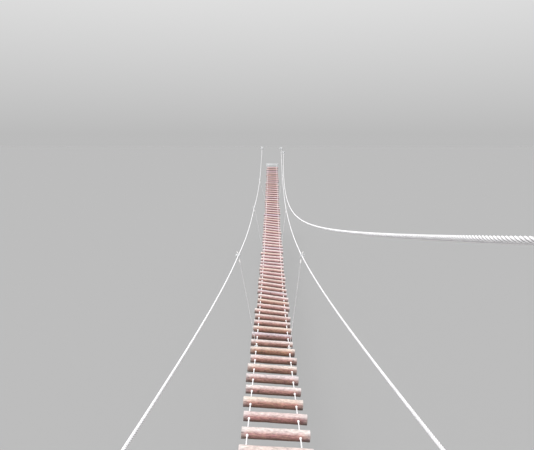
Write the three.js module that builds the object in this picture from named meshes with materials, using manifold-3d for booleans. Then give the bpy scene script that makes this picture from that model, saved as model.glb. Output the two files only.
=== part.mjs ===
// A rope suspension footbridge: round log rungs threaded on two wire ropes, two hand ropes
// with hangers, and a safety line, all held by steel plates on two rock faces.
// Millimetres. X is to the right, Y runs along the bridge, Z is up. The origin is the middle
// of the flat back of the near deck anchor plate.

import * as THREE from "three";
import { mergeVertices } from "three/addons/utils/BufferGeometryUtils.js";
import Module from "manifold-3d";

const wasm = await Module();
wasm.setup();

// The bridge as a whole
const PITCH = 330; // from rung to rung
const PITCHES = 80; // between the two rock faces
const SPAN = PITCH * PITCHES;
const PIN_REACH = 60; // from the rock face to the pin that a rope's eye hangs on
const BAYS = 4;
const BAY = SPAN / BAYS;
const GAP = 0.3; // left between pieces that touch
const OVERLAP = 2; // how deep a joined piece starts inside its neighbour

// The deck
const DECK_SAG = 1506;
const RUNGS = 78;
const RUNGS_PER_SECTION = 6;
const SECTIONS = RUNGS / RUNGS_PER_SECTION;
const DECK_STEPS = RUNGS_PER_SECTION / 2; // along the ropes of one section
const RUNG_LENGTH = 552;
const RUNG_DIAMETER = 90;
const RUNG_SIDES = 8;
const DECK_ROPE_GAUGE = 424; // between the two deck ropes
const DECK_BOW = 14; // how far the deck bows to the left in the middle
// How far the deck leans down to the right, in degrees at even steps from near to far
const DECK_TILTS = [0, 3.2, 4.3, 8.7, 5, 7.2, 4, 1.5, 0];
// How far each log sticks out more to the right than to the left, over and over
const RUNG_SHIFTS = [14, 14, 14, -4, 0, -11, -11, 8, -5, -14, -13, -5, -8, 3, -19];
const FIRST_SHIFTED_RUNG = 11; // the rung that has the first of these shifts
const LENGTH_SPREAD = 4;
const DIAMETER_SPREAD = 4;
const LENGTH_WAVE = 2.4; // the logs' lengths and thicknesses follow waves that don't repeat
const DIAMETER_WAVE = 3.7;

// The ropes
const ROPE_DIAMETER = 12;
const HANGER_DIAMETER = 6;
const ROPE_SIDES = 6;
const STEPS_PER_BAY = 8;
const CLEARANCE_SIDES = 12; // of the hole that a rope runs through

// The hand ropes at both ends and at the three hangers between, from near to far:
// how far out from the middle, and how high above the deck ropes
const HAND_ROPES = {
  left: { side: -1, reach: [420, 440, 470, 480, 510], height: [1040, 1220, 1250, 975, 850] },
  right: { side: 1, reach: [460, 345, 330, 370, 435], height: [1045, 1220, 1225, 1085, 835] },
};

// The safety line, beside the right hand rope and free of it
const LINE_NEAR = new THREE.Vector3(325, PIN_REACH, 1642);
const LINE_FAR = new THREE.Vector3(550, SPAN - PIN_REACH, 620);
const LINE_SAG = 1107;
const LINE_BOW = 100; // towards the middle of the bridge

// The anchors
const PLATE_THICKNESS = 15;
const DECK_PLATE = { width: 620, height: 160 };
const ROPE_PLATE = { width: 140, height: 140 };
const CHEEK_THICKNESS = 8;
const CHEEK_RADIUS = 24;
const CHEEK_SEGMENTS = 3;
const FORK_GAP = 20;
const PIN_RADIUS = 8;
const PIN_SIDES = 8;
const PIN_HEAD = 12;

// The eye at a rope's end: a thimble, the rope round it, and three clips
const EYE_INNER = 14;
const EYE_OUTER = 30;
const EYE_THICKNESS = 14;
const EYE_SEGMENTS = 4;
const EYE_LENGTH = 110; // from the eye's centre to where the two parts of the rope meet
const EYE_HOLE_LENGTH = 55; // from the eye's centre to the point of its hole
const EYE_OUTER_TURN = 0.42 * Math.PI; // from the rope's line to where its outside turns round
const EYE_INNER_TURN = 0.4 * Math.PI;
const EYE_OFFSET = EYE_INNER - PIN_RADIUS - GAP; // the pull seats the thimble on its pin
const DEAD_END = { from: 90, to: 340, above: 11 };
const CLIP = { width: 34, length: 20, height: 50, above: -1 };
const CLIP_PLACES = [130, 210, 290];

// The clamps that hold the hangers on the hand ropes
const CLAMP = { width: 30, length: 36, height: 34 };
const CLAMP_STUD = { radius: 4, length: 26, spacing: 20, sides: 6 };
const TAIL_LENGTH = 34;
const TAIL_LEAN = 0.2 * Math.PI; // outward, away from the walkway
const FERRULE = { below: 56, length: 42, radius: 8, sides: 8 }; // below the middle of the clamp
const DECK_GRIP = { width: 30, length: 32, height: 30 };

const wood = new THREE.MeshStandardMaterial({ color: 0xc09a86, roughness: 0.8, flatShading: true });
const wireRope = new THREE.MeshStandardMaterial({
  color: 0xb4b2ae,
  roughness: 0.45,
  metalness: 0.9,
  flatShading: true,
});
const zincSteel = new THREE.MeshStandardMaterial({
  color: 0x8f9294,
  roughness: 0.5,
  metalness: 0.9,
  flatShading: true,
});

// A closed three.js geometry as a solid that can be joined and cut.
function toSolid(geometry) {
  geometry.deleteAttribute("normal");
  geometry.deleteAttribute("uv");
  const closed = mergeVertices(geometry);
  const mesh = new wasm.Mesh({
    numProp: 3,
    vertProperties: new Float32Array(closed.attributes.position.array),
    triVerts: new Uint32Array(closed.index.array),
  });
  return new wasm.Manifold(mesh);
}

// A joined or cut solid as a three.js geometry.
function toGeometry(solid) {
  const mesh = solid.getMesh();
  const geometry = new THREE.BufferGeometry();
  geometry.setAttribute("position", new THREE.BufferAttribute(mesh.vertProperties, 3));
  geometry.setIndex(new THREE.BufferAttribute(mesh.triVerts, 1));
  geometry.computeVertexNormals();
  return geometry;
}

function joined(geometries) {
  return geometries.map(toSolid).reduce((whole, solid) => whole.add(solid));
}

function namedMesh(name, geometry, material) {
  const mesh = new THREE.Mesh(geometry, material);
  mesh.name = name;
  return mesh;
}

function box(width, length, height) {
  return new THREE.BoxGeometry(width, length, height);
}

// How far down a rope hangs at y, for its drop in the middle of the span.
function hang(y, sag) {
  const part = (y - PIN_REACH) / (SPAN - 2 * PIN_REACH);
  return 4 * sag * part * (1 - part);
}

// A value given at even steps from the near end to the far end, worked out at y between them.
function between(values, y) {
  const steps = values.length - 1;
  const place = THREE.MathUtils.clamp((y / SPAN) * steps, 0, steps);
  const before = Math.min(Math.floor(place), steps - 1);
  return { before: values[before], after: values[before + 1], part: place - before };
}

function straightBetween(values, y) {
  const { before, after, part } = between(values, y);
  return THREE.MathUtils.lerp(before, after, part);
}

function smoothBetween(values, y) {
  const { before, after, part } = between(values, y);
  return THREE.MathUtils.lerp(before, after, THREE.MathUtils.smoothstep(part, 0, 1));
}

function deckTilt(y) {
  return THREE.MathUtils.degToRad(smoothBetween(DECK_TILTS, y));
}

function deckMiddleAt(y) {
  return new THREE.Vector3(-hang(y, DECK_BOW), y, -hang(y, DECK_SAG));
}

// The place of a deck rope at y. side is -1 on the left and 1 on the right.
function deckRopeAt(side, y) {
  const reach = (side * DECK_ROPE_GAUGE) / 2;
  const tilt = deckTilt(y);
  const across = new THREE.Vector3(reach * Math.cos(tilt), 0, -reach * Math.sin(tilt));
  return deckMiddleAt(y).add(across);
}

function handRopeAt(rope, y) {
  const reach = straightBetween(rope.reach, y);
  const height = straightBetween(rope.height, y);
  return new THREE.Vector3(rope.side * reach, y, height - hang(y, DECK_SAG));
}

function safetyLineAt(y) {
  const part = (y - PIN_REACH) / (SPAN - 2 * PIN_REACH);
  const place = new THREE.Vector3().lerpVectors(LINE_NEAR, LINE_FAR, part);
  place.x -= 4 * LINE_BOW * part * (1 - part);
  place.z -= hang(y, LINE_SAG);
  return place;
}

// A stretch of rope as a curve, from y = start to y = end.
class RopeStretch extends THREE.Curve {
  constructor(placeAt, start, end) {
    super();
    this.placeAt = placeAt;
    this.start = start;
    this.end = end;
  }
  getPoint(t) {
    return this.placeAt(THREE.MathUtils.lerp(this.start, this.end, t));
  }
}

function ropeTube(curve, steps, diameter = ROPE_DIAMETER, sides = ROPE_SIDES) {
  const section = new THREE.Shape();
  for (let side = 0; side < sides; side += 1) {
    const angle = (2 * Math.PI * side) / sides;
    const x = (diameter / 2) * Math.cos(angle);
    const y = (diameter / 2) * Math.sin(angle);
    if (side === 0) {
      section.moveTo(x, y);
    } else {
      section.lineTo(x, y);
    }
  }
  return new THREE.ExtrudeGeometry(section, { steps, extrudePath: curve });
}

// Turns and moves a geometry made along +Y so that it starts at a place and points a way.
function along(geometry, place, direction) {
  const yaw = Math.atan2(-direction.x, direction.y);
  const rise = Math.asin(direction.z);
  geometry.rotateX(rise);
  geometry.rotateZ(yaw);
  geometry.translate(place.x, place.y, place.z);
  return geometry;
}

// The eye at a rope's end, made with the pin at the origin and the rope along +Y.
function eyePieces(place, direction) {
  const neck = ROPE_DIAMETER / 2;
  const outline = new THREE.Shape();
  outline.moveTo(EYE_LENGTH, -neck);
  outline.lineTo(EYE_LENGTH, neck);
  outline.absarc(0, 0, EYE_OUTER, EYE_OUTER_TURN, 2 * Math.PI - EYE_OUTER_TURN, false);
  outline.closePath();
  const hole = new THREE.Path();
  hole.moveTo(EYE_HOLE_LENGTH, 0);
  hole.absarc(0, 0, EYE_INNER, EYE_INNER_TURN, 2 * Math.PI - EYE_INNER_TURN, false);
  hole.closePath();
  outline.holes.push(hole);
  const ring = new THREE.ExtrudeGeometry(outline, {
    depth: EYE_THICKNESS,
    bevelEnabled: false,
    curveSegments: EYE_SEGMENTS,
  });
  ring.translate(0, 0, -EYE_THICKNESS / 2);
  ring.rotateZ(Math.PI / 2);
  ring.rotateY(Math.PI / 2);

  const deadEnd = new THREE.CylinderGeometry(
    ROPE_DIAMETER / 2,
    ROPE_DIAMETER / 2,
    DEAD_END.to - DEAD_END.from,
    ROPE_SIDES,
  );
  deadEnd.translate(0, (DEAD_END.from + DEAD_END.to) / 2, DEAD_END.above);

  const clips = CLIP_PLACES.map((reach) => {
    const clip = box(CLIP.width, CLIP.length, CLIP.height);
    clip.translate(0, reach, CLIP.above);
    return clip;
  });
  return [ring, deadEnd, ...clips].map((piece) => {
    piece.translate(0, EYE_OFFSET, 0);
    return along(piece, place, direction);
  });
}

// The eye at the near or far end of a rope that follows placeAt.
function eyeOf(placeAt, atFarEnd) {
  const pinY = atFarEnd ? SPAN - PIN_REACH : PIN_REACH;
  const inner = atFarEnd ? pinY - PITCH : pinY + PITCH;
  const pin = placeAt(pinY);
  const direction = placeAt(inner).sub(pin).normalize();
  if (!atFarEnd) {
    return eyePieces(pin, direction);
  }
  // Made towards the near end first, then turned about so that the dead end stays on top
  const mirrored = new THREE.Vector3(-direction.x, -direction.y, direction.z);
  return eyePieces(new THREE.Vector3(), mirrored).map((piece) => {
    piece.rotateZ(Math.PI);
    piece.translate(pin.x, pin.y, pin.z);
    return piece;
  });
}

// Where the straight part of a rope starts and ends, at the necks of its two eyes.
const ROPE_START = PIN_REACH + EYE_LENGTH;
const ROPE_END = SPAN - PIN_REACH - EYE_LENGTH;

// One bay of a long rope, with an eye where it is the first or the last.
function ropeBay(placeAt, bay) {
  const first = bay === 0;
  const last = bay === BAYS - 1;
  const start = first ? ROPE_START : bay * BAY + GAP / 2;
  const end = last ? ROPE_END : (bay + 1) * BAY - GAP / 2;
  const pieces = [ropeTube(new RopeStretch(placeAt, start, end), STEPS_PER_BAY)];
  if (first || last) {
    pieces.push(...eyeOf(placeAt, last));
  }
  return toGeometry(joined(pieces));
}

// The logs are cut by hand, so each differs a little in length, thickness and place.
function rungShape(number) {
  const turn = RUNG_SHIFTS.length;
  const past = number - FIRST_SHIFTED_RUNG + turn;
  return {
    length: RUNG_LENGTH + LENGTH_SPREAD * Math.sin(LENGTH_WAVE * number),
    diameter: RUNG_DIAMETER + DIAMETER_SPREAD * Math.sin(DIAMETER_WAVE * number),
    shift: RUNG_SHIFTS[past % turn],
  };
}

function rung(number) {
  const y = (number + 0.5) * PITCH;
  const { length, diameter, shift } = rungShape(number);
  const middle = deckMiddleAt(y);
  const log = new THREE.CylinderGeometry(diameter / 2, diameter / 2, length, RUNG_SIDES);
  log.rotateY(Math.PI / RUNG_SIDES);
  log.rotateZ(Math.PI / 2);
  log.translate(shift, 0, 0);
  log.rotateY(deckTilt(y));
  log.translate(middle.x, middle.y, middle.z);
  return log;
}

// Six rungs on the two lengths of rope that carry them.
function deckSection(section) {
  const first = section === 0;
  const last = section === SECTIONS - 1;
  const firstRung = section * RUNGS_PER_SECTION + 1;
  const start = first ? ROPE_START : firstRung * PITCH + GAP / 2;
  const end = last ? ROPE_END : (firstRung + RUNGS_PER_SECTION) * PITCH - GAP / 2;
  const pieces = [];
  for (const side of [-1, 1]) {
    const placeAt = (y) => deckRopeAt(side, y);
    const stretch = new RopeStretch(placeAt, start, end);
    pieces.push(ropeTube(stretch, DECK_STEPS));
    if (first || last) {
      pieces.push(...eyeOf(placeAt, last));
    }
  }
  for (let count = 0; count < RUNGS_PER_SECTION; count += 1) {
    pieces.push(rung(firstRung + count));
  }
  return toGeometry(joined(pieces));
}

// A plate bolted to the rock, with a fork and its pin for each rope at x = 0 or beside it.
function anchorPlate({ width, height }, forks) {
  const plate = box(width, PLATE_THICKNESS, height);
  plate.translate(0, PLATE_THICKNESS / 2, 0);
  const pieces = [plate];
  const root = PLATE_THICKNESS - OVERLAP;
  for (const forkX of forks) {
    for (const side of [-1, 1]) {
      const outline = new THREE.Shape();
      outline.moveTo(root, -CHEEK_RADIUS);
      outline.absarc(PIN_REACH, 0, CHEEK_RADIUS, -Math.PI / 2, Math.PI / 2, false);
      outline.lineTo(root, CHEEK_RADIUS);
      outline.closePath();
      const cheek = new THREE.ExtrudeGeometry(outline, {
        depth: CHEEK_THICKNESS,
        bevelEnabled: false,
        curveSegments: CHEEK_SEGMENTS,
      });
      cheek.rotateX(Math.PI / 2);
      cheek.rotateZ(Math.PI / 2);
      cheek.center();
      const reach = (root + PIN_REACH + CHEEK_RADIUS) / 2;
      cheek.translate(forkX + (side * (FORK_GAP + CHEEK_THICKNESS)) / 2, reach, 0);
      pieces.push(cheek);
    }
    const pinLength = FORK_GAP + 2 * CHEEK_THICKNESS + 2 * PIN_HEAD;
    const pin = new THREE.CylinderGeometry(PIN_RADIUS, PIN_RADIUS, pinLength, PIN_SIDES);
    pin.rotateZ(Math.PI / 2);
    pin.translate(forkX, PIN_REACH, 0);
    pieces.push(pin);
  }
  return toGeometry(joined(pieces));
}

// The clamp that grips a hand rope and the hanger's upper end, with its studs and the tail.
function clamp(rope, station) {
  const y = station * BAY;
  const placeAt = (at) => handRopeAt(rope, at);
  const place = placeAt(y);
  const block = box(CLAMP.width, CLAMP.length, CLAMP.height);
  const studs = [-1, 1].map((end) => {
    const { radius, length, spacing, sides } = CLAMP_STUD;
    const stud = new THREE.CylinderGeometry(radius, radius, length, sides);
    const reach = (CLAMP.width + length) / 2 - OVERLAP;
    stud.rotateZ(Math.PI / 2);
    stud.translate(rope.side * reach, (rope.side * end * spacing) / 2, (end * spacing) / 2);
    return stud;
  });
  const tail = new THREE.CylinderGeometry(
    HANGER_DIAMETER / 2,
    HANGER_DIAMETER / 2,
    TAIL_LENGTH,
    ROPE_SIDES,
  );
  tail.rotateX(Math.PI / 2);
  tail.translate(0, 0, TAIL_LENGTH / 2);
  tail.rotateY(rope.side * TAIL_LEAN);
  tail.translate(0, 0, CLAMP.height / 2 - OVERLAP);
  const solid = joined([block, ...studs, tail].map((piece) => piece.translate(place.x, y, place.z)));
  return toGeometry(solid.subtract(clearanceRound(placeAt, y, 2)));
}

// The room that a rope needs where it runs through another piece.
function clearanceRound(placeAt, y, steps) {
  const curve = new RopeStretch(placeAt, y - PITCH, y + PITCH);
  const width = (ROPE_DIAMETER + 2 * GAP) / Math.cos(Math.PI / CLEARANCE_SIDES);
  return toSolid(ropeTube(curve, steps, width, CLEARANCE_SIDES));
}

// A hanger: the thin cable from its clamp, the ferrule on it, and the grip on the deck rope.
function hanger(rope, station) {
  const y = station * BAY;
  const top = handRopeAt(rope, y);
  const deckRope = (at) => deckRopeAt(rope.side, at);
  const bottom = deckRope(y);
  const line = new THREE.LineCurve3(top, bottom);
  const cable = ropeTube(line, 1, HANGER_DIAMETER);
  const ends = [FERRULE.below, FERRULE.below + FERRULE.length];
  const [above, below] = ends.map((reach) => line.getPoint(reach / line.getLength()));
  const pressed = new THREE.LineCurve3(above, below);
  const ferrule = ropeTube(pressed, 1, 2 * FERRULE.radius, FERRULE.sides);
  const grip = box(DECK_GRIP.width, DECK_GRIP.length, DECK_GRIP.height);
  grip.translate(bottom.x, y, bottom.z);
  const gripped = [CLAMP.width, CLAMP.length, CLAMP.height].map((side) => side + 2 * GAP);
  const clampRoom = toSolid(box(...gripped).translate(top.x, y, top.z));
  const solid = joined([cable, ferrule, grip]).subtract(clampRoom);
  return toGeometry(solid.subtract(clearanceRound(deckRope, y, 1)));
}

function twoDigits(number) {
  return String(number).padStart(2, "0");
}

const bridge = new THREE.Group();

for (let section = 0; section < SECTIONS; section += 1) {
  bridge.add(namedMesh(`deck_section_${twoDigits(section + 1)}`, deckSection(section), wood));
}

for (const [name, rope] of Object.entries(HAND_ROPES)) {
  for (let bay = 0; bay < BAYS; bay += 1) {
    const geometry = ropeBay((y) => handRopeAt(rope, y), bay);
    bridge.add(namedMesh(`${name}_hand_rope_${bay + 1}`, geometry, wireRope));
  }
  for (let station = 1; station < BAYS; station += 1) {
    bridge.add(namedMesh(`${name}_clamp_${station}`, clamp(rope, station), zincSteel));
    bridge.add(namedMesh(`${name}_hanger_${station}`, hanger(rope, station), wireRope));
  }
}

for (let bay = 0; bay < BAYS; bay += 1) {
  bridge.add(namedMesh(`safety_line_${bay + 1}`, ropeBay(safetyLineAt, bay), wireRope));
}

// Both ends have the same anchors, and the far ones face back along the bridge.
for (const [end, rockFace] of Object.entries({ near: 0, far: SPAN })) {
  const pinY = end === "near" ? PIN_REACH : SPAN - PIN_REACH;
  const anchors = {
    deck_anchor: { plate: DECK_PLATE, forks: [-1, 1].map((side) => (side * DECK_ROPE_GAUGE) / 2) },
    left_rope_anchor: { plate: ROPE_PLATE, at: handRopeAt(HAND_ROPES.left, pinY) },
    right_rope_anchor: { plate: ROPE_PLATE, at: handRopeAt(HAND_ROPES.right, pinY) },
    safety_line_anchor: { plate: ROPE_PLATE, at: safetyLineAt(pinY) },
  };
  for (const [name, { plate, forks = [0], at = new THREE.Vector3() }] of Object.entries(anchors)) {
    const mesh = namedMesh(`${end}_${name}`, anchorPlate(plate, forks), zincSteel);
    mesh.position.set(at.x, rockFace, at.z);
    mesh.rotation.z = end === "near" ? 0 : Math.PI;
    bridge.add(mesh);
  }
}

export default bridge;
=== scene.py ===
# %% [markdown]
# # A rope suspension footbridge
# Peeled logs are threaded like ladder rungs on two wire ropes, and two more ropes serve as hand
# rails. Everything sags, so nearly every shape here follows a curve. The frame holds the true
# places and sizes of the plain solids. This script dresses them: it makes the logs, the laid
# wire ropes and the small steel fittings, and gives each its finish.

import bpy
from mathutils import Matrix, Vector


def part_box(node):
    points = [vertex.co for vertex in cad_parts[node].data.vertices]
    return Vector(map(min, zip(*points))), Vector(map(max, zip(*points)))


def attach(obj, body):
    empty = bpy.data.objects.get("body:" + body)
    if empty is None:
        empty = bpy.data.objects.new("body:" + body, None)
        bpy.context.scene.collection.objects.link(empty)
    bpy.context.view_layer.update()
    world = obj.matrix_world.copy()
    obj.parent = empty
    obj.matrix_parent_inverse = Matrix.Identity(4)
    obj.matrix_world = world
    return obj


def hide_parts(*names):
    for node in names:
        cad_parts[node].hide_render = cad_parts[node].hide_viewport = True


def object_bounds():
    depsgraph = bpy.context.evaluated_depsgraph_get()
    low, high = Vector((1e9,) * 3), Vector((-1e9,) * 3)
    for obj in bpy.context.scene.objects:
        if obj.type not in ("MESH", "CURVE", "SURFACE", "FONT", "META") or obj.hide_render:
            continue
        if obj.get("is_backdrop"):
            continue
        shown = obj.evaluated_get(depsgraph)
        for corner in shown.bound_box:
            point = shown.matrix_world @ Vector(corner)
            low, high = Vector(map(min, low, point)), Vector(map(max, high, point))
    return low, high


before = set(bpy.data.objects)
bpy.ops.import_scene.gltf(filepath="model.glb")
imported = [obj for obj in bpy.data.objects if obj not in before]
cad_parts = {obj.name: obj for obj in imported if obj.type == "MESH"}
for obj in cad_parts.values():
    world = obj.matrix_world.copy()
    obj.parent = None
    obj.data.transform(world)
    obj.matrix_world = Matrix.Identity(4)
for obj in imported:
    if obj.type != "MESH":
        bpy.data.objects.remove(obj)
cad_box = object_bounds()
print("The frame has", len(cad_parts), "nodes")

# %% Import the modelling tools
import math
from functools import partial

import bmesh
import bpy
import numpy as np
from mathutils import Matrix, Vector, noise

# %% [markdown]
# ## The bridge's sizes
# A few driving sizes give every place on the bridge. They are in metres, and Y runs along the
# bridge. The span is read from the frame, so it is never typed twice. Real ropes hang in a
# catenary, but with a sag this small next to the span a parabola can't be told from one.

# %% Name the driving sizes
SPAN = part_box("far_deck_anchor")[1].y
PITCH = 0.33
BAYS = 4
BAY = SPAN / BAYS
PIN_REACH = 0.06
DECK_SAG = 1.506
DECK_BOW = 0.014
DECK_ROPE_GAUGE = 0.424
DECK_TILTS = (0, 3.2, 4.3, 8.7, 5, 7.2, 4, 1.5, 0)  # degrees down to the right, end to end
ROPE_DIAMETER = 0.012
HANGER_DIAMETER = 0.006
RUNGS = 78
RUNGS_PER_SECTION = 6
HAND_ROPES = {
    "left": {
        "side": -1,
        "reach": (0.42, 0.44, 0.47, 0.48, 0.51),
        "height": (1.04, 1.22, 1.25, 0.975, 0.85),
    },
    "right": {
        "side": 1,
        "reach": (0.46, 0.345, 0.33, 0.37, 0.435),
        "height": (1.045, 1.22, 1.225, 1.085, 0.835),
    },
}
LINE_NEAR = Vector((0.325, PIN_REACH, 1.642))
LINE_FAR = Vector((0.55, SPAN - PIN_REACH, 0.62))
LINE_SAG = 1.107
LINE_BOW = 0.1
print(f"Span {SPAN:.2f} m in {BAYS} bays of {BAY:.2f} m, {RUNGS} rungs")


# %% Work out where each rope lies
def part_way(y):
    return (y - PIN_REACH) / (SPAN - 2 * PIN_REACH)


def hang(y, sag):
    return 4 * sag * part_way(y) * (1 - part_way(y))


def between(values, y, smooth=False):
    place = min(max(y / SPAN, 0), 1) * (len(values) - 1)
    before = min(int(place), len(values) - 2)
    part = place - before
    if smooth:
        part = part * part * (3 - 2 * part)
    return values[before] + (values[before + 1] - values[before]) * part


def deck_tilt(y):
    return math.radians(between(DECK_TILTS, y, smooth=True))


def deck_rope_at(side, y):
    reach = side * DECK_ROPE_GAUGE / 2
    x = reach * math.cos(deck_tilt(y)) - hang(y, DECK_BOW)
    return Vector((x, y, -hang(y, DECK_SAG) - reach * math.sin(deck_tilt(y))))


def hand_rope_at(rope, y):
    height = between(rope["height"], y) - hang(y, DECK_SAG)
    return Vector((rope["side"] * between(rope["reach"], y), y, height))


def safety_line_at(y):
    bow = Vector((hang(y, LINE_BOW), 0, hang(y, LINE_SAG)))
    return LINE_NEAR.lerp(LINE_FAR, part_way(y)) - bow


ROUTES = {
    "left_deck_rope": lambda y: deck_rope_at(-1, y),
    "right_deck_rope": lambda y: deck_rope_at(1, y),
    "left_hand_rope": lambda y: hand_rope_at(HAND_ROPES["left"], y),
    "right_hand_rope": lambda y: hand_rope_at(HAND_ROPES["right"], y),
    "safety_line": safety_line_at,
}
print(f"The deck hangs {hang(SPAN / 2, DECK_SAG):.2f} m below its ends at the middle")

# %% [markdown]
# ## The camera
# The photograph was taken by someone standing at the near end and looking along the deck and
# a little down. Its focal length and the eye's place were worked out from how fast the rungs
# shrink with distance. The camera needs no shift: the middle of the picture is its axis.

# %% Set the camera
PHOTO_WIDTH = 534
FOCAL_LENGTH_PIXELS = 516.6
EYE = Vector((-0.0275, 0.34, 1.59))
LOOK_DOWN = math.radians(10.09)
TURN_LEFT = math.radians(0.53)


def put_in_scene(item):
    bpy.context.scene.collection.objects.link(item)


camera_data = bpy.data.cameras.new("photo_camera")
camera_data.sensor_width = 36
camera_data.lens = FOCAL_LENGTH_PIXELS / PHOTO_WIDTH * camera_data.sensor_width
camera_data.clip_start = 0.02
camera_data.clip_end = 500
camera = bpy.data.objects.new("photo_camera", camera_data)
camera.location = EYE
camera.rotation_euler = (math.radians(90) - LOOK_DOWN, 0, TURN_LEFT)
put_in_scene(camera)
bpy.context.scene.camera = camera
print(f"The lens is {camera_data.lens:.1f} mm, {EYE.z:.2f} m above the deck's ends")


# %% [markdown]
# ## Helpers for finishes
# Colours are written as the hex values that one would pick from a picture, and Blender's
# shaders work in linear light, so one function converts them. Another adds a shader node with
# its settings and links and gives back one of its outputs, the first one unless told otherwise.
# A new finish brings that function along for its own nodes, under the short name add.

# %% Define the colour and node helpers
# A Mix node takes its share at input 0 and two colours at 6 and 7, and gives output 2
COLOURS = {"data_type": "RGBA", "output": 2}


def linear(hex_colour):
    channels = [int(hex_colour[place:place + 2], 16) / 255 for place in (1, 3, 5)]
    straight = [c / 12.92 if c <= 0.04045 else ((c + 0.055) / 1.055) ** 2.4 for c in channels]
    return (*straight, 1)


def grey(value):
    return (value, value, value, 1)


def fill_in(node, inputs):
    for name, value in inputs.items():
        if isinstance(value, bpy.types.NodeSocket):
            node.id_data.links.new(value, node.inputs[name])
        else:
            node.inputs[name].default_value = value


def add_node(tree, kind, inputs=None, stops=(), output=0, **settings):
    node = tree.nodes.new("ShaderNode" + kind)
    for name, value in settings.items():
        setattr(node, name, value)
    fill_in(node, inputs or {})
    for place, (position, colour) in enumerate(stops):
        ramp = node.color_ramp.elements
        stop = ramp[place] if place < 2 else ramp.new(position)
        stop.position = position
        stop.color = colour
    return node.outputs[output]


def new_finish(name):
    finish = bpy.data.materials.new(name)
    finish.use_nodes = True
    tree = finish.node_tree
    return finish, tree.nodes["Principled BSDF"], partial(add_node, tree)


print("#c49e88 in linear light is", [round(channel, 3) for channel in linear("#c49e88")[:3]])

# %% [markdown]
# ## Peeled softwood
# The rungs are thin spruce or larch stems with the bark drawn off by hand. What shows is the
# last year's growth: a smooth pinkish tan with fine lengthwise fibre, reddish patches where
# inner bark stayed on, dark knots, and drying cracks. The top is painted almost white, partly
# for the sun's bleaching and partly as a painted highlight, to cream on one log and to lilac
# grey on another, while the underside is painted dark as painted shade.
# Boots scuff the middle, where everyone treads, and the ends turn silver-grey first. The
# drawknife takes more in one place than in the next, and weather stains what it leaves, so
# the skin is mottled all over. The pattern has to follow each log, so it reads attributes of
# the mesh: every point's place in its own log, that log's own tone and paleness, how far the
# point faces up, how far it lies towards an end, and where it was sawn.

# %% Start the wood finish with fibre and patches
FIBRE_WIDTH = 0.0022
PATCH_LENGTH = 0.11
FLECK_WIDTH = 0.009
MARKS = ("log_tone", "log_paleness", "facing_up", "toward_end", "sawn_end")
# A pattern is drawn out along the log: lengthwise it is only this fraction as dense
DENSITIES = {"fibre": 0.03, "patches": 0.35, "flecks": 0.3, "cracks": 0.06, "mottle": 0.45}

peeled_log, surface, add = new_finish("peeled_softwood")
log_place = add("Attribute", attribute_name="log_place", output="Vector")
log_tone, log_paleness, facing_up, toward_end, sawn_end = (
    add("Attribute", attribute_name=name, output="Fac") for name in MARKS
)
drawn_out = {
    name: add("Mapping", {"Vector": log_place, "Scale": (density, 1, 1)})
    for name, density in DENSITIES.items()
}
fibre = add(
    "TexNoise",
    {"Vector": drawn_out["fibre"], "Scale": 1 / FIBRE_WIDTH, "Detail": 3, "Roughness": 0.6},
)
patches = add(
    "TexNoise",
    {"Vector": drawn_out["patches"], "Scale": 2.5 / PATCH_LENGTH, "Detail": 4, "Roughness": 0.62},
)
flecks = add("TexNoise", {"Vector": drawn_out["flecks"], "Scale": 1 / FLECK_WIDTH, "Detail": 3})
fibre_stops = ((0.3, linear("#6f544a")), (0.5, linear("#917168")), (0.7, linear("#af8d85")))
skin = add("ValToRGB", {"Fac": fibre}, fibre_stops)
for pattern, none_at, full_at, most, colour in (
    (patches, 0.53, 0.68, 0.7, "#6c4a42"),
    (flecks, 0.52, 0.64, 0.6, "#60443a"),
):
    stops = ((none_at, grey(0)), (full_at, grey(most)))
    layer = {0: add("ValToRGB", {"Fac": pattern}, stops), 6: skin, 7: linear(colour)}
    skin = add("Mix", layer, **COLOURS)
print(f"Fibres are drawn {FIBRE_WIDTH * 1000} mm wide and patches {PATCH_LENGTH * 1000} mm long")

# %% Add each log's tone, the knots and the drying cracks
KNOT_SPACING = 0.13
CRACK_SPACING = 0.06
TINT_SHARE = 0.85
PALEST = 0.3
# For tones from 0 to 1, the tint of the skin and the colour of its top: a painted highlight,
# partly sun bleaching
TONES = {
    0.0: ("#ecc8bf", "#b9a9a6"),
    0.35: ("#fff0ec", "#bfb6b4"),
    0.7: ("#f8dcb8", "#bcada0"),
    1.0: ("#dcc8d4", "#b0a9b2"),
}

tint, bleach_and_highlight = (
    add(
        "ValToRGB",
        {"Fac": log_tone},
        stops=[(tone, linear(colours[choice])) for tone, colours in TONES.items()],
    )
    for choice in (0, 1)
)
layer = {0: TINT_SHARE, 6: skin, 7: tint}
skin = add("Mix", layer, blend_type="MULTIPLY", **COLOURS)
pale_share = add("Math", {0: log_paleness, 1: PALEST}, operation="MULTIPLY")
layer = {0: pale_share, 6: skin, 7: linear("#d4a5b5")}
skin = add("Mix", layer, **COLOURS)
knots = add("TexVoronoi", {"Vector": drawn_out["patches"], "Scale": 2 / KNOT_SPACING})
cracks = add(
    "TexVoronoi",
    {"Vector": drawn_out["cracks"], "Scale": 1 / CRACK_SPACING},
    feature="DISTANCE_TO_EDGE",
)
for pattern, full_at, none_at, most, colour in (
    (knots, 0.07, 0.14, 0.85, "#3d271d"),
    (cracks, 0.0, 0.018, 0.8, "#322018"),
):
    stops = ((full_at, grey(most)), (none_at, grey(0)))
    layer = {0: add("ValToRGB", {"Fac": pattern}, stops), 6: skin, 7: linear(colour)}
    skin = add("Mix", layer, **COLOURS)
crack_share = layer[0]
print("Knots lie about", KNOT_SPACING * 1000, "mm apart")

# %% Add the painted highlight and bleaching on top, the painted shade underneath, the scuffed middle and the grey ends
SCUFFED_SHARE = 0.6

# How far a point faces up, widened on paler logs, sets the painted highlight on top and the painted
# shade underneath
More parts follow.
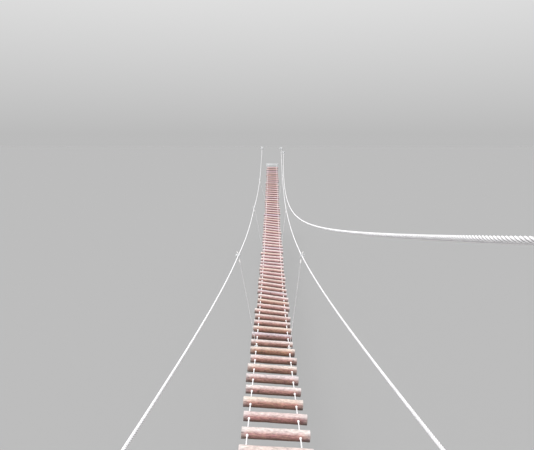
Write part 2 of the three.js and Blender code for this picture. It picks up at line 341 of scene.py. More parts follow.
lit_top_share = add("Math", {0: log_paleness, 1: 0.15, 2: facing_up}, operation="MULTIPLY_ADD")
painted_light_share = add("Math", {0: fibre, 1: 0.35, 2: lit_top_share}, operation="MULTIPLY_ADD")
for pattern, none_at, full_at, most, colour in (
    # Painted highlight on the top, partly sun bleaching
    (painted_light_share, 0.7, 1.2, 0.86, bleach_and_highlight),
    # Painted shade on the underside
    (painted_light_share, 0.55, -0.4, 0.8, linear("#573d2b")),
    (toward_end, SCUFFED_SHARE, 0.0, 0.14, linear("#4d3d35")),
):
    ranges = {"Value": pattern, "From Min": none_at, "From Max": full_at, "To Max": most}
    layer = {0: add("MapRange", ranges), 6: skin, 7: colour}
    skin = add("Mix", layer, **COLOURS)
silver_share = add("MapRange", {"Value": toward_end, "From Min": 0.75, "From Max": 0.97})
silvered = {"Saturation": 0.6, "Value": 0.97, "Fac": silver_share, "Color": skin}
skin = add("HueSaturation", silvered)
print(f"The scuffed middle of a log takes up {SCUFFED_SHARE:.0%} of its length")

# %% Mottle the skin, lighter and darker
MOTTLE_WIDTH = 0.014
MOTTLE_RANGES = {"Value": ("Red", 0.6, 1.4), "Hue": ("Green", 0.47, 0.53)}

mottle = add(
    "TexNoise",
    {"Vector": drawn_out["mottle"], "Scale": 1 / MOTTLE_WIDTH, "Detail": 6, "Roughness": 0.65},
    output="Color",
)
mottled = {"Color": skin}
for name, (channel, low, high) in MOTTLE_RANGES.items():
    ranges = {"From Min": 0.3, "From Max": 0.7, "To Min": low, "To Max": high}
    ranges["Value"] = add("SeparateColor", {"Color": mottle}, output=channel)
    mottled[name] = add("MapRange", ranges)
skin = add("HueSaturation", mottled)
print("The mottling is drawn", MOTTLE_WIDTH * 1000, "mm wide")

# %% Add the sawn ends with their rings and splits
RING_WIDTH = 0.0027
WAVE_SCALE = math.pi / 10  # Blender's ring texture repeats after this length at a scale of one
RING_LOOKS = {"Distortion": 4, "Detail": 2, "Detail Scale": 0.5}

across = add("Mapping", {"Vector": log_place, "Scale": (0, 1, 1)})
rings = add(
    "TexWave",
    {"Vector": across, "Scale": WAVE_SCALE / RING_WIDTH} | RING_LOOKS,
    wave_type="RINGS",
    rings_direction="X",
    output="Fac",
)
ring_stops = ((0.1, linear("#937660")), (0.6, linear("#b79d86")))
end_grain = add("ValToRGB", {"Fac": rings}, ring_stops)
outward = add("VectorMath", {0: across}, operation="NORMALIZE")
end_place = add("Mapping", {"Vector": log_place, "Scale": (1, 0, 0)})
this_end = add("VectorMath", {0: outward, 1: end_place}, operation="ADD")
splits = add("TexVoronoi", {"Vector": this_end, "Scale": 1.6}, feature="DISTANCE_TO_EDGE")
stops = ((0.01, grey(0.85)), (0.03, grey(0)))
layer = {0: add("ValToRGB", {"Fac": splits}, stops), 6: end_grain, 7: linear("#3d281e")}
end_grain = add("Mix", layer, **COLOURS)
layer = {0: sawn_end, 6: skin, 7: end_grain}
skin = add("Mix", layer, **COLOURS)
rough = add("MapRange", {"Value": patches, "To Min": 0.55, "To Max": 0.8})
height = add("Math", {0: crack_share, 1: -3.0, 2: fibre}, operation="MULTIPLY_ADD")
bump = add("Bump", {"Height": height, "Strength": 0.4, "Distance": 0.001})
fill_in(surface, {"Base Color": skin, "Roughness": rough, "Normal": bump, "IOR": 1.5})
print("The wood finish has", len(peeled_log.node_tree.nodes), "nodes")

# %% [markdown]
# ## Galvanised wire rope
# The ropes are galvanised steel wire, six strands laid round a core. New zinc is bright, and
# a few years outdoors turn it a dull pale grey. The valleys between the strands are painted
# darker, partly for the dirt and the last of the grease that stay there and partly as painted
# shade. Weathered zinc is part crystal and part chalky oxide, so it is less metallic than
# polished metal. The single wires are under a millimetre thick, so they are drawn as fine
# lines, with painted shade between them, that also raise the surface.

# %% Make the wire rope finish
WIRES_AROUND = 42
STRANDS = 6
DIRT_PATCH = 0.022

wire_rope, surface, add = new_finish("galvanised_wire_rope")
uv = add("UVMap", uv_map="around_and_along")
around, along = (add("SeparateXYZ", {"Vector": uv}, output=axis) for axis in "XY")
in_line = add("Math", {0: around, 1: along}, operation="ADD")
object_place = add("TexCoord", output="Object")
weather = add("TexNoise", {"Vector": object_place, "Scale": 1 / DIRT_PATCH, "Detail": 3})
zinc_stops = ((0.35, linear("#eeecef")), (0.65, linear("#fcfbfd")))
colour = add("ValToRGB", {"Fac": weather}, zinc_stops)
waves = {}
# First painted shade between the wires, then dirt and painted shade in the strands' valleys
for place, count, none_at, most, shade_and_dirt in (
    (in_line, WIRES_AROUND, -0.4, 0.45, "#8f8c8a"),
    (around, STRANDS, -0.5, 0.9, "#5f5b58"),
):
    angle = add("Math", {0: place, 1: 2 * math.pi * count}, operation="MULTIPLY")
    waves[count] = add("Math", {0: angle}, operation="COSINE")
    ranges = {"Value": waves[count], "From Min": none_at, "From Max": -1.0, "To Max": most}
    layer = {0: add("MapRange", ranges), 6: colour, 7: linear(shade_and_dirt)}
    colour = add("Mix", layer, **COLOURS)
bump = add("Bump", {"Height": waves[WIRES_AROUND], "Strength": 0.3, "Distance": 0.0003})
looks = {"Base Color": colour, "Normal": bump, "Metallic": 0.1, "Roughness": 0.45}
fill_in(surface, looks)
print(STRANDS, "strands with", WIRES_AROUND, "outer wires in all")

# %% [markdown]
# ## Hot-dip zinc on the fittings
# Plates, pins, clips and clamps are steel dipped in molten zinc. It sets in flat crystals,
# called spangle, each reflecting a little differently, and it dulls to a mid grey outdoors.
# A cell pattern gives each crystal its own grey and roughness.

# %% Make the zinc finish
SPANGLE = 0.009
ZINC_GRAIN = 0.0165

zinc_steel, surface, add = new_finish("hot_dip_zinc")
object_place = add("TexCoord", output="Object")
cells = add("TexVoronoi", {"Vector": object_place, "Scale": 1 / SPANGLE}, output="Color")
cell = add("SeparateColor", {"Color": cells}, output="Red")
dulling = add("TexNoise", {"Vector": object_place, "Scale": 1 / ZINC_GRAIN, "Detail": 4})
shade = add("Math", {0: cell, 1: dulling}, operation="MULTIPLY")
shade_stops = ((0.0, linear("#b0b2b3")), (0.6, linear("#e0e1e2")))
colour = add("ValToRGB", {"Fac": shade}, shade_stops)
rough = add("MapRange", {"Value": cell, "To Min": 0.38, "To Max": 0.6})
bump = add("Bump", {"Height": dulling, "Strength": 0.15, "Distance": 0.0008})
looks = {"Base Color": colour, "Roughness": rough, "Normal": bump, "Metallic": 0.45}
fill_in(surface, looks)
print("Zinc crystals are", SPANGLE * 1000, "mm across")

# %% [markdown]
# ## Pressed aluminium
# The short sleeves on the deck ropes and hangers are soft aluminium, pressed round the rope.
# Pressing leaves them matt and pale, with fine scratches, under a dull oxide skin.

# %% Make the aluminium finish
SCRATCH_WIDTH = 0.0012

pressed_aluminium, surface, add = new_finish("pressed_aluminium")
object_place = add("TexCoord", output="Object")
lengthwise = add("Mapping", {"Vector": object_place, "Scale": (0.2, 1, 0.2)})
scratches = add("TexNoise", {"Vector": lengthwise, "Scale": 1 / SCRATCH_WIDTH, "Detail": 2})
scratch_stops = ((0.3, linear("#d6d3d2")), (0.7, linear("#f4f1f0")))
colour = add("ValToRGB", {"Fac": scratches}, scratch_stops)
bump = add("Bump", {"Height": scratches, "Strength": 0.2, "Distance": 0.0004})
looks = {"Base Color": colour, "Normal": bump, "Metallic": 0.2, "Roughness": 0.5}
fill_in(surface, looks)
print("Scratches are drawn", SCRATCH_WIDTH * 1000, "mm wide")


# %% [markdown]
# ## Putting a finished mesh in the scene
# Every piece is a mesh whose object stays at the origin, with its place in its points, as the
# frame's own nodes are. One function links it, gives it its finish, lets it ride on the bridge
# and hides the plain solids that it stands for. Another sets a small mesh down in many places:
# it makes one mesh of all the copies.

# %% Define how a piece joins the scene
def mesh_from(bm):
    mesh = bpy.data.meshes.new("shape")
    bm.to_mesh(mesh)
    bm.free()
    return mesh


def add_piece(name, mesh, finish, nodes=(), smooth_angle=40):
    piece = bpy.data.objects.new(name, mesh)
    put_in_scene(piece)
    mesh.name = name
    mesh.materials.clear()
    mesh.materials.append(finish)
    mesh.shade_smooth()
    if smooth_angle is not None:
        mesh.set_sharp_from_angle(angle=math.radians(smooth_angle))
    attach(piece, "root")
    if nodes:
        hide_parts(*nodes)
    print(name, "has", len(mesh.polygons), "faces")


def set_down(template, places):
    together = bmesh.new()
    for place in places:
        before = len(together.verts)
        together.from_mesh(template)
        bmesh.ops.transform(together, matrix=place, verts=list(together.verts)[before:])
    return mesh_from(together)


def facing(place, direction):
    return Matrix.Translation(place) @ direction.to_track_quat("Z", "X").to_matrix().to_4x4()


def direction_at(place_at, y, step=0.01):
    return (place_at(y + step) - place_at(y - step)).normalized()


def move(x, y, z):
    return Matrix.Translation((x, y, z))


def turn(degrees, axis):
    return Matrix.Rotation(math.radians(degrees), 4, axis)


# %% [markdown]
# ## The logs
# Each rung is a stem about 90 mm thick, cut to about 550 mm with a saw and drilled across for
# the two ropes. No two are alike: they taper, bend a little, swell at old branches and are
# flattened here and there by the drawknife. A plain cylinder from create_cone is bevelled at
# its sawn edges and cut into rings along its length, and each point is then moved by smooth
# noise. The holes are cut by a Boolean modifier, so the rope visibly runs into the wood.

# %% Work out each log's size and place
RUNG_LENGTH = 0.552
RUNG_DIAMETER = 0.09
RUNG_VARIATION = 0.004
RUNG_SHIFTS = (14, 14, 14, -4, 0, -11, -11, 8, -5, -14, -13, -5, -8, 3, -19)  # millimetres
FIRST_SHIFTED_RUNG = 11


# Sines of a log's number make it differ a little from the others, alike on every run
def rung_shape(number):
    length = RUNG_LENGTH + RUNG_VARIATION * math.sin(2.4 * number)
    diameter = RUNG_DIAMETER + RUNG_VARIATION * math.sin(3.7 * number)
    shift = RUNG_SHIFTS[(number - FIRST_SHIFTED_RUNG) % len(RUNG_SHIFTS)] / 1000
    return length, diameter, shift


def rung_y(number):
    return (number + 0.5) * PITCH


def rung_frame(number):
    y = rung_y(number)
    middle = Vector((-hang(y, DECK_BOW), y, -hang(y, DECK_SAG)))
    return Matrix.Translation(middle) @ Matrix.Rotation(deck_tilt(y), 4, "Y")


first_length, first_diameter, _ = rung_shape(1)
print(f"Rung 1 is {first_length * 1000:.0f} mm long and {first_diameter * 1000:.0f} mm thick")

# %% Shape one log
LOG_SEGMENTS = 28
LOG_CUTS = 13
SAW_EDGE = 0.0025


def cylinder(bm, radius, length, place, segments):
    return bmesh.ops.create_cone(
        bm,
        cap_ends=True,
        segments=segments,
        radius1=radius,
        radius2=radius,
        depth=length,
        matrix=place,
    )


def bevel(bm, edges, offset, segments):
    bmesh.ops.bevel(
        bm,
        geom=edges,
        offset=offset,
        segments=segments,
        profile=0.5,
        affect="EDGES",
        material=-1,
    )


def plain_log(length, diameter):
    log = bmesh.new()
    cylinder(log, diameter / 2, length, turn(90, "Y"), LOG_SEGMENTS)
    bevel(log, [edge for end in log.faces if len(end.verts) > 4 for edge in end.edges], SAW_EDGE, 2)
    long_edges = [edge for edge in log.edges if edge.calc_length() > length / 2]
    bmesh.ops.subdivide_edges(log, edges=long_edges, cuts=LOG_CUTS, use_grid_fill=True)
    return log


sample = plain_log(RUNG_LENGTH, RUNG_DIAMETER)
print("A plain log has", len(sample.faces), "faces")
sample.free()

# %% [markdown]
# Noise from the mathutils module is the same on every run, so the logs never change between
# renders. Each log samples its own corner of it.

# %% Give a log its uneven skin
SWELLING = 0.0030
SWELLS_PER_METRE = 7
FACETS = 0.0014
FACETS_PER_METRE = 22
FACETS_AROUND = 3
BEND = 0.004
TAPER = 0.03


def own_corner(number):
    return Vector((number * 1.7, math.sin(number) * 0.004, math.cos(number) * 0.005))


def weathered_log(number):
    length, diameter, shift = rung_shape(number)
    log = plain_log(length, diameter)
    corner = own_corner(number)
    bend_way = Vector((0, math.cos(number * 2.9), math.sin(number * 2.9)))
    bend = bend_way * BEND * math.sin(number * 1.3)
    taper = TAPER * math.sin(number * 4.4)
    for point in log.verts:
        own = point.co.copy()
        radial = Vector((0, own.y, own.z))
        outward = radial.normalized()
        on_swells = Vector((own.x * SWELLS_PER_METRE, outward.y, outward.z))
        on_facets = outward * FACETS_AROUND + Vector((own.x * FACETS_PER_METRE, 0, 0))
        swell = SWELLING * noise.noise(on_swells + corner * 9)
        facet = FACETS * noise.noise(on_facets + corner * 5)
        share = radial.length / (diameter / 2)
        reach = own.x / length
        point.co += radial * taper * 2 * reach + outward * (swell + facet) * share
        point.co += bend * (0.25 - reach * reach)
        point.co.x += shift
    bmesh.ops.transform(log, matrix=rung_frame(number), verts=log.verts)
    return mesh_from(log)


print(f"Skins swell by up to {SWELLING * 1000:.0f} mm and stems bend by up to {BEND * 250:.0f} mm")

# %% [markdown]
# The two holes of a rung have to line up with the ropes, which slope with the sag. Each drill
# is a cylinder laid on the rope's own line through that rung. Six logs are drilled at a time,
# because a section of six is one node of the frame.

# %% Define the drilling
DRILL_DIAMETER = 0.0165
DRILL_LENGTH = 0.16


def drills(numbers):
    bits = bmesh.new()
    for number in numbers:
        for name in ("left_deck_rope", "right_deck_rope"):
            y = rung_y(number)
            place = facing(ROUTES[name](y), direction_at(ROUTES[name], y))
            cylinder(bits, DRILL_DIAMETER / 2, DRILL_LENGTH, place, segments=16)
    return mesh_from(bits)


def evaluated_mesh(result, helper):
    for item in (result, helper):
        put_in_scene(item)
    graph = bpy.context.evaluated_depsgraph_get()
    mesh = bpy.data.meshes.new_from_object(result.evaluated_get(graph))
    for item in (result, helper):
        bpy.data.objects.remove(item)
    return mesh


def drilled(logs_mesh, bits_mesh):
    logs = bpy.data.objects.new("logs", logs_mesh)
    bits = bpy.data.objects.new("bits", bits_mesh)
    holes = logs.modifiers.new("holes", "BOOLEAN")
    holes.solver = "MANIFOLD"
    holes.object = bits
    return evaluated_mesh(logs, bits)


print(f"The drill is {DRILL_DIAMETER * 1000:.1f} mm thick, the rope {ROPE_DIAMETER * 1000:.0f} mm")

# %% [markdown]
# The wood finish reads six attributes. They are written last, for the points round the holes
# too: each point is turned back into its own log's frame, and its place there tells most of
# them. A stretch a few metres from the near end is darker, and the logs get paler towards the
# middle, where their tops also get a wider painted highlight.

# %% Mark the wood and set the logs on the ropes
GOLDEN_STEP = 0.618  # steps of this size spread the tones evenly, with no two neighbours alike
PALENESS = (0.5, 0.5, 0, 0.4, 1, 1, 1, 1, 1)


def mark_wood(mesh, numbers):
    points = np.zeros(3 * len(mesh.vertices), np.float32)
    mesh.vertices.foreach_get("co", points)
    points = points.reshape(-1, 3)
    nearest = np.rint(points[:, 1] / PITCH - 0.5)
    place = np.zeros_like(points)
    marks = np.zeros((len(MARKS), len(points)), np.float32)
    for number in numbers:
        of_this = nearest == number
        length, diameter, shift = rung_shape(number)
        back = np.array(rung_frame(number).inverted())
        own = points[of_this] @ back[:3, :3].T + back[:3, 3] - (shift, 0, 0)
        place[of_this] = own + np.array(own_corner(number))
        marks[:, of_this] = np.broadcast_arrays(  # in the order of their names in MARKS
            number * GOLDEN_STEP % 1,
            between(PALENESS, rung_y(number), smooth=True),
            own[:, 2] / (diameter / 2),
            abs(own[:, 0]) / (length / 2),
            abs(own[:, 0]) > length / 2 - SAW_EDGE / 10,
        )
    log_place = mesh.attributes.new("log_place", "FLOAT_VECTOR", "POINT")
    log_place.data.foreach_set("vector", place.ravel())
    for name, values in zip(MARKS, marks):
        mesh.attributes.new(name, "FLOAT", "POINT").data.foreach_set("value", values)


for section in range(RUNGS // RUNGS_PER_SECTION):
    numbers = range(section * RUNGS_PER_SECTION + 1, (section + 1) * RUNGS_PER_SECTION + 1)
    together = bmesh.new()
    for number in numbers:
        together.from_mesh(weathered_log(number))
    logs_mesh = drilled(mesh_from(together), drills(numbers))
    mark_wood(logs_mesh, numbers)
    count = f"{section + 1:02d}"
    add_piece(f"logs_{count}", logs_mesh, peeled_log, [f"deck_section_{count}"])

# %% [markdown]
# ## Laid wire rope
# A wire rope is six strands twisted round a core, so its outline is a six-lobed rosette that
# turns once in each lay length. Modelling every strand as its own tube would need millions of
# faces. A single rosette outline swept along the rope, and tilted a little more at every step,
# gives the same ridges and valleys: a poly curve does that with its tilt and a bevel object.

# %% Define the sweep
STEPS_PER_LAY = 10
LAY_IN_DIAMETERS = 7
CREST = 0.515
VALLEY = 0.4


def rosette(diameter):
    outline = bpy.data.curves.new("rosette", "CURVE")
    spline = outline.splines.new("POLY")
    points = 2 * STRANDS
    spline.points.add(points - 1)
    for place in range(points):
        reach = diameter * (VALLEY if place % 2 else CREST)
        angle = 2 * math.pi * place / points
        spline.points[place].co = (reach * math.cos(angle), reach * math.sin(angle), 0, 1)
    spline.use_cyclic_u = True
    return bpy.data.objects.new("rosette", outline)


def even_steps(route, step):
    corners = np.array([tuple(point) for point in route])
    lengths = np.r_[0, np.cumsum(np.linalg.norm(np.diff(corners, axis=0), axis=1))]
    distances = np.linspace(0, lengths[-1], max(int(lengths[-1] / step), 2) + 1)
    return np.column_stack([np.interp(distances, lengths, axis) for axis in corners.T]), distances


def laid_rope(route, diameter, steps_per_lay=STEPS_PER_LAY):
    lay = LAY_IN_DIAMETERS * diameter
    places, distances = even_steps(route, lay / steps_per_lay)
    curve = bpy.data.curves.new("rope", "CURVE")
    curve.dimensions = "3D"
    curve.twist_mode = "MINIMUM"
    spline = curve.splines.new("POLY")
    spline.points.add(len(places) - 1)
    spline.points.foreach_set("co", np.column_stack([places, np.ones(len(places))]).ravel())
    spline.points.foreach_set("tilt", 2 * math.pi * distances / lay)
    curve.bevel_mode = "OBJECT"
    curve.bevel_object = rosette(diameter)
    curve.use_fill_caps = True
    mesh = evaluated_mesh(bpy.data.objects.new("rope", curve), curve.bevel_object)
    map_rope(mesh, distances / lay)
    return mesh


step_length = LAY_IN_DIAMETERS * ROPE_DIAMETER / STEPS_PER_LAY
print(f"Long ropes are swept in steps of {step_length * 1000:.1f} mm")


# %% [markdown]
# The sweep numbers its points ring by ring, twelve to a ring. That order is enough to lay out
# a map: across it runs once round the rope, and along it counts the turns of the lay. The
# finish can then colour the valleys and draw the wires wherever the rope bends.

# %% Define the rope's map
def whole_numbers(items, name):
    values = np.zeros(len(items), np.int32)
    items.foreach_get(name, values)
    return values


def map_rope(mesh, turns_at):
    around_count = 2 * STRANDS
    corners = whole_numbers(mesh.loops, "vertex_index")
    starts = whole_numbers(mesh.polygons, "loop_start")
    totals = whole_numbers(mesh.polygons, "loop_total")
    turns = turns_at[np.minimum(corners // around_count, len(turns_at) - 1)]
    around = (corners % around_count) / around_count
    quads = starts[totals == 4][:, None] + np.arange(4)
    shares = around[quads]
    crosses_seam = np.ptp(shares, axis=1) > 0.5
    shares[crosses_seam] += np.where(shares[crosses_seam] < 0.5, 1, 0)
    around[quads] = shares
    for old in list(mesh.uv_layers):
        mesh.uv_layers.remove(old)
    layer = mesh.uv_layers.new(name="around_and_along")
    layer.data.foreach_set("uv", np.column_stack([around, turns]).ravel())


print("The map counts", 2 * STRANDS, "points to a ring")

# %% [markdown]
# ## The eye at a rope's end
# Each long rope ends in an eye: it goes round a thimble that hangs on the anchor's pin and
# comes back along itself, where three clips hold it. The route of the eye is drawn flat, from
# the tip of the dead end round the thimble and back, and then set on the rope's own direction.
# So each rope is swept from one dead end to the other in one piece.

# %% Draw the eye's route
EYE_START = 84  # degrees from the rope's own direction, where it meets the thimble
EYE_TURN = 198
EYE_STEP = 11
EYE_RADIUS = 0.024
EYE_NECK = 0.112
EYE_OFFSET = 0.0057
DEAD_END_REACH = 0.34
DEAD_END_ABOVE = 0.0125
NECK_BEND = 0.015
NECK_RISE = 0.0015
NECK_DIP = 0.0025
ROUTE_POINTS = 400


def end_frame(place_at, at_far_end):
    pin_y = SPAN - PIN_REACH if at_far_end else PIN_REACH
    inward = -PITCH if at_far_end else PITCH
    pin = place_at(pin_y)
    along = (place_at(pin_y + inward) - pin).normalized()
    side = along.cross(Vector((0, 0, 1))).normalized()
    axes = Matrix((side, along, side.cross(along))).transposed().to_4x4()
    return Matrix.Translation(pin + along * EYE_OFFSET) @ axes


def eye_route(place_at, at_far_end):
    bends = range(EYE_START, EYE_START + EYE_TURN + 1, EYE_STEP)
    angles = [math.radians(angle) for angle in bends]
    flat = [(DEAD_END_REACH, DEAD_END_ABOVE), (EYE_NECK + NECK_BEND, DEAD_END_ABOVE)]
    flat += [(EYE_NECK - NECK_BEND, DEAD_END_ABOVE + NECK_RISE)]
    flat += [(EYE_RADIUS * math.cos(angle), EYE_RADIUS * math.sin(angle)) for angle in angles]
    flat += [(EYE_NECK - NECK_BEND, -NECK_DIP), (EYE_NECK + NECK_BEND, 0)]
    here = end_frame(place_at, at_far_end)
    return [here @ Vector((0, along, up)) for along, up in flat]


def whole_route(place_at):
    start = PIN_REACH + EYE_NECK + 2 * NECK_BEND
    middle = [place_at(y) for y in np.linspace(start, SPAN - start, ROUTE_POINTS)]
    return eye_route(place_at, False) + middle + eye_route(place_at, True)[::-1]


print(f"The dead end lies {DEAD_END_ABOVE * 1000:.1f} mm above the rope's axis")

# %% Lay the five long ropes
for name, place_at in ROUTES.items():
    own_nodes = [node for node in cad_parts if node.startswith(name + "_")]
    own_nodes = [node for node in own_nodes if not node.endswith("anchor")]
    rope_mesh = laid_rope(whole_route(place_at), ROPE_DIAMETER)
    add_piece(name, rope_mesh, wire_rope, own_nodes, smooth_angle=None)


# %% [markdown]
# ## Nuts, bolts and blocks
# The clips, clamps and plates all use the same hardware, built with a few helpers. A nut starts
# as a six-sided cylinder, a rod or washer as a round one, and a block as a cube. Bevels soften
# their edges, because a dead sharp edge never catches the light as real steel does.

# %% Define the hardware
MARGIN = 1.01  # a length counts as the same up to this many times as long


def edges_of(made, shorter_than=math.inf):
    edges = dict.fromkeys(edge for vert in made["verts"] for edge in vert.link_edges)
    return [edge for edge in edges if edge.calc_length() < shorter_than]


def hex_nut(hardware, across_flats, height, place, chamfer=0.05):
    made = cylinder(hardware, across_flats / math.sqrt(3), height, place, 6)
    bevel(hardware, edges_of(made), across_flats * chamfer, 1)


def rod(hardware, radius, length, place, segments=12, chamfer=0.18):
    made = cylinder(hardware, radius, length, place, segments)
    rim_length = 2 * radius * math.sin(math.pi / segments)
    bevel(hardware, edges_of(made, rim_length * MARGIN), min(radius, length) * chamfer, 1)


def cuboid(hardware, size, place):
    return bmesh.ops.create_cube(hardware, size=1, matrix=place @ Matrix.Diagonal((*size, 1)))


def block(hardware, size, place, edge):
    bevel(hardware, edges_of(cuboid(hardware, size, place)), edge, 2)


print("A nut 15 mm across its flats is", round(15 / math.sqrt(3) * 2, 1), "mm over its corners")

# %% [markdown]
# ## Stop sleeves
# A short aluminium sleeve is pressed on the deck rope on either side of each log, so the log
# can't slide. There are hundreds, so one sleeve has only a few dozen faces: a rod with its
# rims bevelled. It sits where the rope leaves the wood, pressed a little into it.

# %% Press a sleeve on either side of every log
SLEEVE_RADIUS = 0.0105
SLEEVE_LENGTH = 0.018
PRESSED_IN = 0.003

sleeve = bmesh.new()
rod(sleeve, SLEEVE_RADIUS, SLEEVE_LENGTH, Matrix(), segments=10)
sleeve_mesh = mesh_from(sleeve)
for side in ("left", "right"):
    place_at = ROUTES[f"{side}_deck_rope"]
    places = []
    for number in range(1, RUNGS + 1):
        reach = rung_shape(number)[1] / 2 + SLEEVE_LENGTH / 2 - PRESSED_IN
        way = direction_at(place_at, rung_y(number))
        centre = place_at(rung_y(number))
        places += [facing(centre + way * reach * end, way) for end in (-1, 1)]
    sleeves_mesh = set_down(sleeve_mesh, places)
    add_piece(f"{side}_stop_sleeves", sleeves_mesh, pressed_aluminium)

# %% [markdown]
# ## Thimbles and wire rope clips
# The thimble is a steel channel bent to a teardrop, and the rope lies in its groove. Its round
# part is a profile spun about the pin, and its legs are the same profile pulled on along the
# rope. A wire rope clip has a saddle under the live part of the rope and a U-bolt over the
# dead end, with a nut under each leg. The order matters: the U-bolt's hard pinch may only fall
# on the end that carries no load. Both are made once, in the eye's own frame, and set down at
# ten rope ends.

# %% Shape the thimble
GROOVE = (
    (-8.4, 24.5), (-8.2, 18.5), (-5.6, 15), (0, 14), (5.6, 15), (8.2, 18.5), (8.4, 24.5),
    (7.2, 24.5), (6.8, 19.5), (4.4, 17.6), (0, 16.8), (-4.4, 17.6), (-6.8, 19.5), (-7.2, 24.5),
)  # millimetres
LEG_WAYS = ((0, 0.9946, -0.1039), (0, 0.975, 0.2225))
LEG_PULLS = ((0.035, 1), (0.027, 0.55))  # how far, and what is left of the profile there


def only(kind, items):
    return [item for item in items if isinstance(item, kind)]


def pull(bm, edges, way):
    pulled = bmesh.ops.extrude_edge_only(bm, edges=edges)["geom"]
    tips = only(bmesh.types.BMVert, pulled)
    bmesh.ops.translate(bm, verts=tips, vec=way)
    edges = only(bmesh.types.BMEdge, pulled)
    return tips, [edge for edge in edges if all(vert in tips for vert in edge.verts)]


def close_up(bm):
    bmesh.ops.holes_fill(bm, edges=[edge for edge in bm.edges if edge.is_boundary], sides=0)
    bmesh.ops.recalc_face_normals(bm, faces=bm.faces)


fitting = bmesh.new()
rim = [fitting.verts.new((x / 1000, reach / 1000, 0)) for x, reach in GROOVE]
loop = [fitting.edges.new((rim[place - 1], rim[place])) for place in range(len(rim))]
bmesh.ops.rotate(fitting, verts=rim, cent=(0, 0, 0), matrix=turn(EYE_START, "X").to_3x3())
about_pin = {"axis": (1, 0, 0), "cent": (0, 0, 0), "angle": math.radians(EYE_TURN), "steps": 16}
spun = bmesh.ops.spin(fitting, geom=loop, **about_pin)["geom_last"]
for ends, way in zip((loop, only(bmesh.types.BMEdge, spun)), LEG_WAYS):
    for length, shrink in LEG_PULLS:
        tips, ends = pull(fitting, ends, Vector(way) * length)
        middle = sum((vert.co for vert in tips), Vector()) / len(tips)
        bmesh.ops.scale(fitting, verts=tips, vec=(shrink,) * 3, space=Matrix.Translation(-middle))
close_up(fitting)
print("The thimble has", len(fitting.faces), "faces")

# %% Add the three clips
CLIP_PLACES = (0.13, 0.21, 0.29)
BOLT_RADIUS = 0.0045
BOLT_REACH = 0.011
LEG_DOWN = 0.0425
SADDLE_TOP = -0.0052
SADDLE_SIZE = (0.034, 0.021, 0.011)
SADDLE_EDGE = 0.003
CLIP_NUT = (0.015, 0.0075)  # across its flats, and its height
NUT_BELOW = 0.0148

for reach in CLIP_PLACES:
    foot = move(BOLT_REACH, reach, DEAD_END_ABOVE)
    ring = edges_of(bmesh.ops.create_circle(fitting, segments=8, radius=BOLT_RADIUS, matrix=foot))
    over = {"axis": (0, 1, 0), "cent": (0, reach, DEAD_END_ABOVE), "angle": -math.pi, "steps": 8}
    arch = bmesh.ops.spin(fitting, geom=ring, **over)["geom_last"]
    for leg in (ring, only(bmesh.types.BMEdge, arch)):
        pull(fitting, leg, (0, 0, -LEG_DOWN))
    saddle_place = move(0, reach, SADDLE_TOP - SADDLE_SIZE[2] / 2)
    block(fitting, SADDLE_SIZE, saddle_place, SADDLE_EDGE)
    for side in (-1, 1):
        hex_nut(fitting, *CLIP_NUT, move(side * BOLT_REACH, reach, SADDLE_TOP - NUT_BELOW))
close_up(fitting)
print("A thimble with its clips has", len(fitting.faces), "faces")

# %% Set them down at every rope end
fitting_mesh = mesh_from(fitting)
for name, place_at in ROUTES.items():
    places = [end_frame(place_at, at_far_end) for at_far_end in (False, True)]
    add_piece(f"{name}_end_fittings", set_down(fitting_mesh, places), zinc_steel)


# %% [markdown]
# ## Hangers and their clamps
# At each of three stations, a thin cable hangs from the hand rope and holds the deck rope. A
# clamp of two steel halves and two bolts grips the hand rope and the cable at once, and the
# cable's cut end sticks up above it with a pressed cap on it. A hand's breadth further down, a
# sleeve pressed on the cable keeps its strands together. A smaller pair of halves grips the
# deck rope. Two bevelled blocks with a slit between them show how such a clamp works, which
# one solid block wouldn't.

# %% Define a clamp of two halves
SLIT = 0.003
HALF_EDGE = 0.003
CLAMP_BOLT_RADIUS = 0.004
# Width across flats, or radius, and height, and how far its middle is outside the halves
CLAMP_NUT, NUT_OUT = (0.013, 0.0065), 0.0048
CLAMP_WASHER, WASHER_OUT = (0.0078, 0.0016), 0.0008
CLAMP_HEAD, HEAD_OUT = (0.013, 0.0055), 0.0027


def two_halves(place, size, bolt_at, tip_reach):
    hardware = bmesh.new()
    width, length, height = size
    half = (width - SLIT) / 2
    for side in (-1, 1):
        half_place = place @ move(side * (half + SLIT) / 2, 0, 0)
        block(hardware, (half, length, height), half_place, HALF_EDGE)
    for end in (-1, 1):
        bolt = place @ move(0, end * bolt_at, end * bolt_at) @ turn(90, "Y")
        shank = bolt @ move(0, 0, tip_reach / 2 + width / 4)
        rod(hardware, CLAMP_BOLT_RADIUS, width / 2 + tip_reach, shank, 10)
        hex_nut(hardware, *CLAMP_NUT, bolt @ move(0, 0, width / 2 + NUT_OUT))
        rod(hardware, *CLAMP_WASHER, bolt @ move(0, 0, width / 2 + WASHER_OUT))
        hex_nut(hardware, *CLAMP_HEAD, bolt @ move(0, 0, -width / 2 - HEAD_OUT))
    return mesh_from(hardware)


print("Each clamp is two halves, two bolts, two nuts and two washers")

# %% Make the hangers and clamps
CLAMP_SIZE = (0.03, 0.036, 0.034)
CLAMP_BOLTS = (0.0105, 0.022)  # where they are, and how far their tips reach
GRIP_SIZE = (0.03, 0.032, 0.03)
GRIP_BOLTS = (0.0095, 0.014)
TAIL_LENGTH = 0.034
TAIL_LEAN = 0.2 * math.pi
TAIL_BEND = 0.003
FERRULE_BELOW = 0.056
FERRULE_LENGTH = 0.042
FERRULE_RADIUS = 0.0085
CAP_LENGTH = 0.022
CAP_RADIUS = 0.0055
CAP_OVER = 0.001

